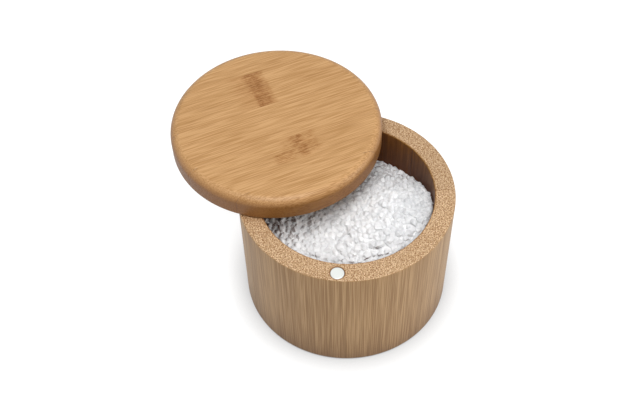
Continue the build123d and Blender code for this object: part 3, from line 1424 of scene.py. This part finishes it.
@dataclass
class SaltHeap:
    """Coarse salt heaped in the cup against one side: a bed, and layers of loose crystals lying in it."""

    vessel: Vessel
    level: float = 41.9
    wall_clearance: float = 0.3
    mound_height: float = 14.5
    mound_reach: float = 36.0
    mound_outset: float = 25.0
    mound_angle: float = -18.0
    swell_height: float = 0.25
    swell_length: float = 13.0
    swell_count: int = 3
    swell_turn: float = 137.5
    swell_growth: float = 0.25
    bed_depth: float = 1.1
    bed_unevenness: float = 0.2
    bed_rings: int = 36
    bed_steps: int = 192
    crystal_radius: Span = (1.3, 2.0)
    crystal_sink: float = 0.35
    layers: tuple[CrystalLayer, ...] = (
        CrystalLayer(depth=0.0, scatter=0.4, closeness=0.84, darts=12000),
        CrystalLayer(depth=0.55, scatter=0.15, closeness=0.64, darts=12000),
        CrystalLayer(depth=1.15, scatter=0.15, closeness=0.74, darts=9000),
    )
    leading_edge: float = 3.0
    leading_sink: float = 0.7
    leading_spacing: float = 7.7
    leading_turn: float = 137.5
    leading_tumble: tuple[float, float, float] = (50.0, 70.0, 20.0)
    # Painted shade: the crystals grey towards one side of the heap.
    heap_shade_heading: float = 12.0
    heap_shade_from: float = 8.0
    heap_shade_to: float = 34.0
    heap_shade_strength: float = 0.6
    random_shade: float = 0.55
    templates: int = 16
    edge_bevel: Span = (0.2, 0.42)
    stretches: tuple[Span, Span, Span] = ((0.82, 1.25), (0.82, 1.15), (0.7, 1.0))
    chipping: float = 0.09
    blunt_share: float = 0.25
    pieces: int = 3
    seed: int = 11

    def surface(self, x: float, y: float) -> float:
        """The height that the crystals are heaped to above a point.

        Args:
            x: The point's place along X.
            y: The point's place along Y.

        Returns:
            The height in millimetres.
        """
        crest = heading(self.mound_angle) * self.mound_outset
        share = min(1.0, math.hypot(x - crest.x, y - crest.y) / self.mound_reach)
        swell = 0.0
        for turn in range(self.swell_count):
            across = heading(self.swell_turn * turn)
            length = self.swell_length * (1.0 + self.swell_growth * turn)
            swell += math.sin(math.tau * (x * across.x + y * across.y) / length + turn)
        return self.level + self.mound_height * (1.0 - share * share) ** 2 + self.swell_height * swell

    def painted_heap_shade(self, spot: Vector) -> float:
        """How strongly a crystal is greyed as painted shade: 0 on one side of the heap and 1 at the other."""
        share = (spot.dot(heading(self.heap_shade_heading)) - self.heap_shade_from) / (self.heap_shade_to - self.heap_shade_from)
        return min(1.0, max(0.0, share))

    def bed(self) -> Shape:
        """Makes the heap under the loose crystals, with a grainy top.

        Returns:
            The closed solid.
        """
        vessel = self.vessel
        reach = vessel.cavity_radius - self.wall_clearance
        corners = [Corner(0.0, vessel.floor), Corner(reach, vessel.floor, vessel.cavity_rounding)]
        for ring in range(self.bed_rings + 1):
            corners.append(Corner(reach * (1.0 - ring / self.bed_rings), self.level))
        shape = TurnedForm(tuple(corners), steps=self.bed_steps, round_steps=4).shaped()
        dice = random.Random(self.seed + 1)
        for vert in shape.verts:
            if vert.co.z > self.level - MERGE_DISTANCE:
                jolt = dice.uniform(-self.bed_unevenness, self.bed_unevenness)
                vert.co.z = self.surface(vert.co.x, vert.co.y) - self.bed_depth + jolt
        marked(shape, CRYSTAL_TONE_AND_SHADE, lambda face: 0.0)
        for face in shape.faces:
            face.smooth = True
        return shape

    def crystal(self, dice: random.Random) -> bpy.types.Mesh:
        """One crystal of about unit radius: a chipped, blunted block.

        Args:
            dice: The source of its shape.

        Returns:
            The crystal's mesh.
        """
        shape = bmesh.new()
        bmesh.ops.create_cube(shape, size=TEMPLATE_EDGE)
        bmesh.ops.bevel(
            shape, geom=shape.edges[:] + shape.verts[:], offset=dice.uniform(*self.edge_bevel),
            offset_type="OFFSET", affect="EDGES", segments=1, profile=0.5, material=-1,
        )
        blunt = dice.random() < self.blunt_share
        stretch = Vector([dice.uniform(*span) for span in self.stretches])
        for vert in shape.verts:
            chip = Vector([dice.uniform(-1.0, 1.0) for _ in range(3)]) * self.chipping
            vert.co = Vector(a * b for a, b in zip(vert.co, stretch)) + chip
        marked(shape, CRYSTAL_TONE_AND_SHADE, lambda face: 0.0)
        for face in shape.faces:
            face.smooth = blunt
        mesh = bpy.data.meshes.new("crystal")
        shape.to_mesh(mesh)
        shape.free()
        return mesh

    def leading(self) -> list[Crystal]:
        """The largest crystals, spread over the heap on a spiral and each tumbled its own way.

        Returns:
            The crystals.
        """
        half_diagonal = self.leading_edge * math.sqrt(3.0) / 2.0
        spread = self.vessel.cavity_radius - self.wall_clearance - half_diagonal
        crystals = []
        for number in range(int(math.pi * (spread / self.leading_spacing) ** 2)):
            direction = heading(number * self.leading_turn)
            place = direction * self.leading_spacing * math.sqrt((number + 0.5) / math.pi)
            place.z = self.surface(place.x, place.y) - self.leading_sink
            tumble = Euler([math.radians(number * turn) for turn in self.leading_tumble], "ZYX")
            crystals.append(Crystal(place, self.leading_edge / TEMPLATE_EDGE, tumble))
        return crystals

    def cell(self, x: float, y: float) -> tuple[int, int]:
        """The square cell, as wide as the largest crystal, that a point lies in."""
        width = 2.0 * self.crystal_radius[1]
        return int(x // width), int(y // width)

    def strewn(self, layer: CrystalLayer, taken: Sequence[Crystal], dice: random.Random) -> list[Crystal]:
        """Strews one layer of crystals over the heap, none too near another.

        Args:
            layer: The layer.
            taken: Crystals that already lie in the layer.
            dice: The source of the places.

        Returns:
            The layer's new crystals.
        """
        grid: dict[tuple[int, int], list[Crystal]] = {}
        for crystal in taken:
            grid.setdefault(self.cell(crystal.spot.x, crystal.spot.y), []).append(crystal)
        placed: list[Crystal] = []
        for _ in range(layer.darts):
            radius = dice.uniform(*self.crystal_radius)
            reach = self.vessel.cavity_radius - radius
            angle, far = dice.uniform(0.0, math.tau), reach * math.sqrt(dice.random())
            x, y = far * math.cos(angle), far * math.sin(angle)
            column, row = self.cell(x, y)
            near = (
                other
                for side in range(column - 1, column + 2)
                for front in range(row - 1, row + 2)
                for other in grid.get((side, front), ())
            )
            if any(
                math.hypot(x - other.spot.x, y - other.spot.y) < layer.closeness * (radius + other.radius)
                for other in near
            ):
                continue
            middle = self.surface(x, y) - layer.depth - radius * self.crystal_sink
            height = middle + dice.uniform(-layer.scatter, layer.scatter)
            tumble = Euler([dice.uniform(0.0, math.tau) for _ in range(3)])
            crystal = Crystal(Vector((x, y, height)), radius, tumble)
            grid.setdefault((column, row), []).append(crystal)
            placed.append(crystal)
        return placed

    def build(self) -> None:
        """Makes the bed and the crystals."""
        material = SaltFinish().material()
        Piece("salt_bed", Body.VESSEL, Slot.SALT, ("salt",)).finished(self.bed(), material)
        dice = random.Random(self.seed)
        templates = [self.crystal(dice) for _ in range(self.templates)]
        crystals = self.leading()
        for layer in self.layers:
            crystals += self.strewn(layer, crystals if layer is self.layers[0] else (), dice)
        crystals.sort(key=lambda crystal: crystal.spot.x)
        LOG.info("salt: %d crystals lie on the bed", len(crystals))
        share = math.ceil(len(crystals) / self.pieces)
        for number in range(self.pieces):
            batch = bmesh.new()
            for crystal in crystals[number * share:(number + 1) * share]:
                grain = dice.choice(templates).copy()
                place = Matrix.Translation(crystal.spot) @ crystal.tumble.to_matrix().to_4x4()
                grain.transform(place @ Matrix.Scale(crystal.radius, 4))
                # A crystal's random grey tone, plus painted shade that greys it towards one side of the heap.
                shade = self.random_shade * dice.random() + self.heap_shade_strength * self.painted_heap_shade(crystal.spot)
                grain.attributes[CRYSTAL_TONE_AND_SHADE].data.foreach_set("value", [shade] * len(grain.polygons))
                batch.from_mesh(grain)
                bpy.data.meshes.remove(grain)
            Piece(f"salt_crystals_{number + 1}", Body.VESSEL, Slot.SALT, ("salt",)).finished(batch, material)
        for template in templates:
            bpy.data.meshes.remove(template)


# --------------------------------------------------------------------------------------------------
# The studio
# --------------------------------------------------------------------------------------------------


@dataclass(frozen=True)
class Softbox:
    """A square area light that looks at the object, with its place and size in metres."""

    name: str
    place: tuple[float, float, float]
    size: float
    power: float

    def build(self, target: Vector) -> None:
        """Hangs the light.

        Args:
            target: The point that it looks at.
        """
        light = bpy.data.lights.new(self.name, "AREA")
        light.size, light.energy = self.size, self.power
        lamp = bpy.data.objects.new(self.name, light)
        lamp.location = self.place
        lamp.rotation_euler = (target - Vector(self.place)).to_track_quat("-Z", "Y").to_euler()
        bpy.context.scene.collection.objects.link(lamp)


@dataclass
class Studio:
    """The pale floor, the soft light and the camera.

    Sizes are in metres, but floor_patch, foot_shadow_reach and sensor are in millimetres, camera_distance is in
    rim radii, focal_pixels and image_width are in pixels, and the camera's angles are in radians.
    """

    floor_size: float = 8.0
    floor_colour: Colour = (0.55, 0.55, 0.55)
    floor_seen: Colour = (0.25, 0.25, 0.25)
    floor_patch: float = 1500.0
    floor_patch_colour: Colour = (0.76, 0.76, 0.76)
    floor_patch_share: float = 0.02
    floor_roughness: float = 0.9
    floor_sheen: float = 0.1
    floor_glow: float = 0.9
    foot_shadow_reach: float = 15.0
    foot_shadow_samples: int = 16
    sky_rise: Span = (0.0, 0.8)
    sky_strength: Span = (0.12, 0.42)
    sky_sheen: float = 0.9
    camera_distance: float = 8.857861
    camera_elevation: float = 0.8835237
    camera_pan: float = -0.02734694
    camera_tilt: float = -0.00989697
    camera_roll: float = 0.00886071
    focal_pixels: float = 964.1454
    image_width: float = 640.0
    rim_radius: float = 0.0445
    rim_height: float = 0.0594
    sensor: float = 36.0
    softboxes: tuple[Softbox, ...] = (
        Softbox("overhead", (0.03, -0.45, 1.15), size=0.8, power=13.8),
        Softbox("right_side", (1.0, -0.15, 0.4), size=0.5, power=4.0),
        Softbox("left_side", (-1.1, 0.1, 0.16), size=0.4, power=0.7),
    )

    def floor(self) -> None:
        """Lays the floor."""
        sheet = bmesh.new()
        bmesh.ops.create_grid(sheet, x_segments=1, y_segments=1, size=self.floor_size / 2.0)
        mesh = bpy.data.meshes.new("studio_floor")
        sheet.to_mesh(mesh)
        sheet.free()
        material, bench, shader = new_material("studio_floor")
        handling = Handling.placed(bench, {"Place": bench.own_place(), "Size": self.floor_patch * MM})
        rays = bench.node("ShaderNodeLightPath").outputs
        seen = bench.math("MAXIMUM", rays["Is Camera Ray"], rays["Is Glossy Ray"])
        patches = bench.math("MULTIPLY", handling["Patches"], self.floor_patch_share)
        tone = bench.mix(patches, self.floor_colour, self.floor_patch_colour)
        bench.link(bench.mix(seen, tone, self.floor_seen), shader["Base Color"])
        # Painted shadow round the object's foot: the floor's glow is dimmed where its surroundings are closed
        # in.
        foot_shadow = bench.openness(self.foot_shadow_reach, self.foot_shadow_samples)
        glow = bench.math("MULTIPLY", bench.math("MULTIPLY", seen, self.floor_glow), foot_shadow)
        bench.link(glow, shader["Emission Strength"])
        shader["Emission Color"].default_value = rgba(WHITE)
        shader["Roughness"].default_value = self.floor_roughness
        shader["Specular IOR Level"].default_value = self.floor_sheen
        mesh.materials.append(material)
        floor = bpy.data.objects.new("studio_floor", mesh)
        bpy.context.scene.collection.objects.link(floor)

    def camera(self) -> None:
        """Sets up the camera from its pose round the rim's centre."""
        rise = self.camera_elevation
        right = Vector((1.0, 0.0, 0.0))
        up = Vector((0.0, math.sin(rise), math.cos(rise)))
        forward = Vector((0.0, math.cos(rise), -math.sin(rise)))
        panned = math.cos(self.camera_pan) * right - math.sin(self.camera_pan) * forward
        ahead = math.sin(self.camera_pan) * right + math.cos(self.camera_pan) * forward
        tilted = math.cos(self.camera_tilt) * up - math.sin(self.camera_tilt) * ahead
        look = math.sin(self.camera_tilt) * up + math.cos(self.camera_tilt) * ahead
        across = math.cos(self.camera_roll) * panned + math.sin(self.camera_roll) * tilted
        upright = -math.sin(self.camera_roll) * panned + math.cos(self.camera_roll) * tilted
        place = Vector((0.0, 0.0, self.rim_height)) - forward * self.camera_distance * self.rim_radius
        data = bpy.data.cameras.new("camera")
        data.sensor_width = self.sensor
        data.lens = self.focal_pixels / self.image_width * self.sensor
        camera = bpy.data.objects.new("camera", data)
        turn = Matrix((across, upright, -look)).transposed().to_4x4()
        camera.matrix_world = Matrix.Translation(place) @ turn
        bpy.context.scene.collection.objects.link(camera)
        bpy.context.scene.camera = camera

    def build(self) -> None:
        """Makes the floor, the light and the camera."""
        self.camera()
        self.floor()
        world = bpy.data.worlds.new("studio")
        world.use_nodes = True
        background = world.node_tree.nodes["Background"]
        background.inputs["Color"].default_value = rgba(WHITE)
        bench = NodeBench(world.node_tree)
        direction = bench.node("ShaderNodeTexCoord").outputs["Generated"]
        lit = bench.remap(bench.parts(direction)[2], self.sky_rise, self.sky_strength)
        glossy = bench.node("ShaderNodeLightPath").outputs["Is Glossy Ray"]
        strength = bench.math("MAXIMUM", lit, bench.math("MULTIPLY", glossy, self.sky_sheen))
        bench.link(strength, background.inputs["Strength"])
        bpy.context.scene.world = world
        for softbox in self.softboxes:
            softbox.build(Vector((0.0, 0.0, self.rim_height)))
        bpy.context.scene.view_settings.view_transform = "Standard"


def main() -> None:
    """Builds the studio and the object's sub-assemblies."""
    logging.basicConfig(level=logging.INFO, format="%(name)s %(message)s")
    hardware = Hardware()
    vessel = Vessel(hardware)
    for part in (Studio(), vessel, Lid(hardware), SaltHeap(vessel)):
        LOG.info("building the %s", type(part).__name__.lower())
        part.build()


if __name__ == "__main__":
    main()
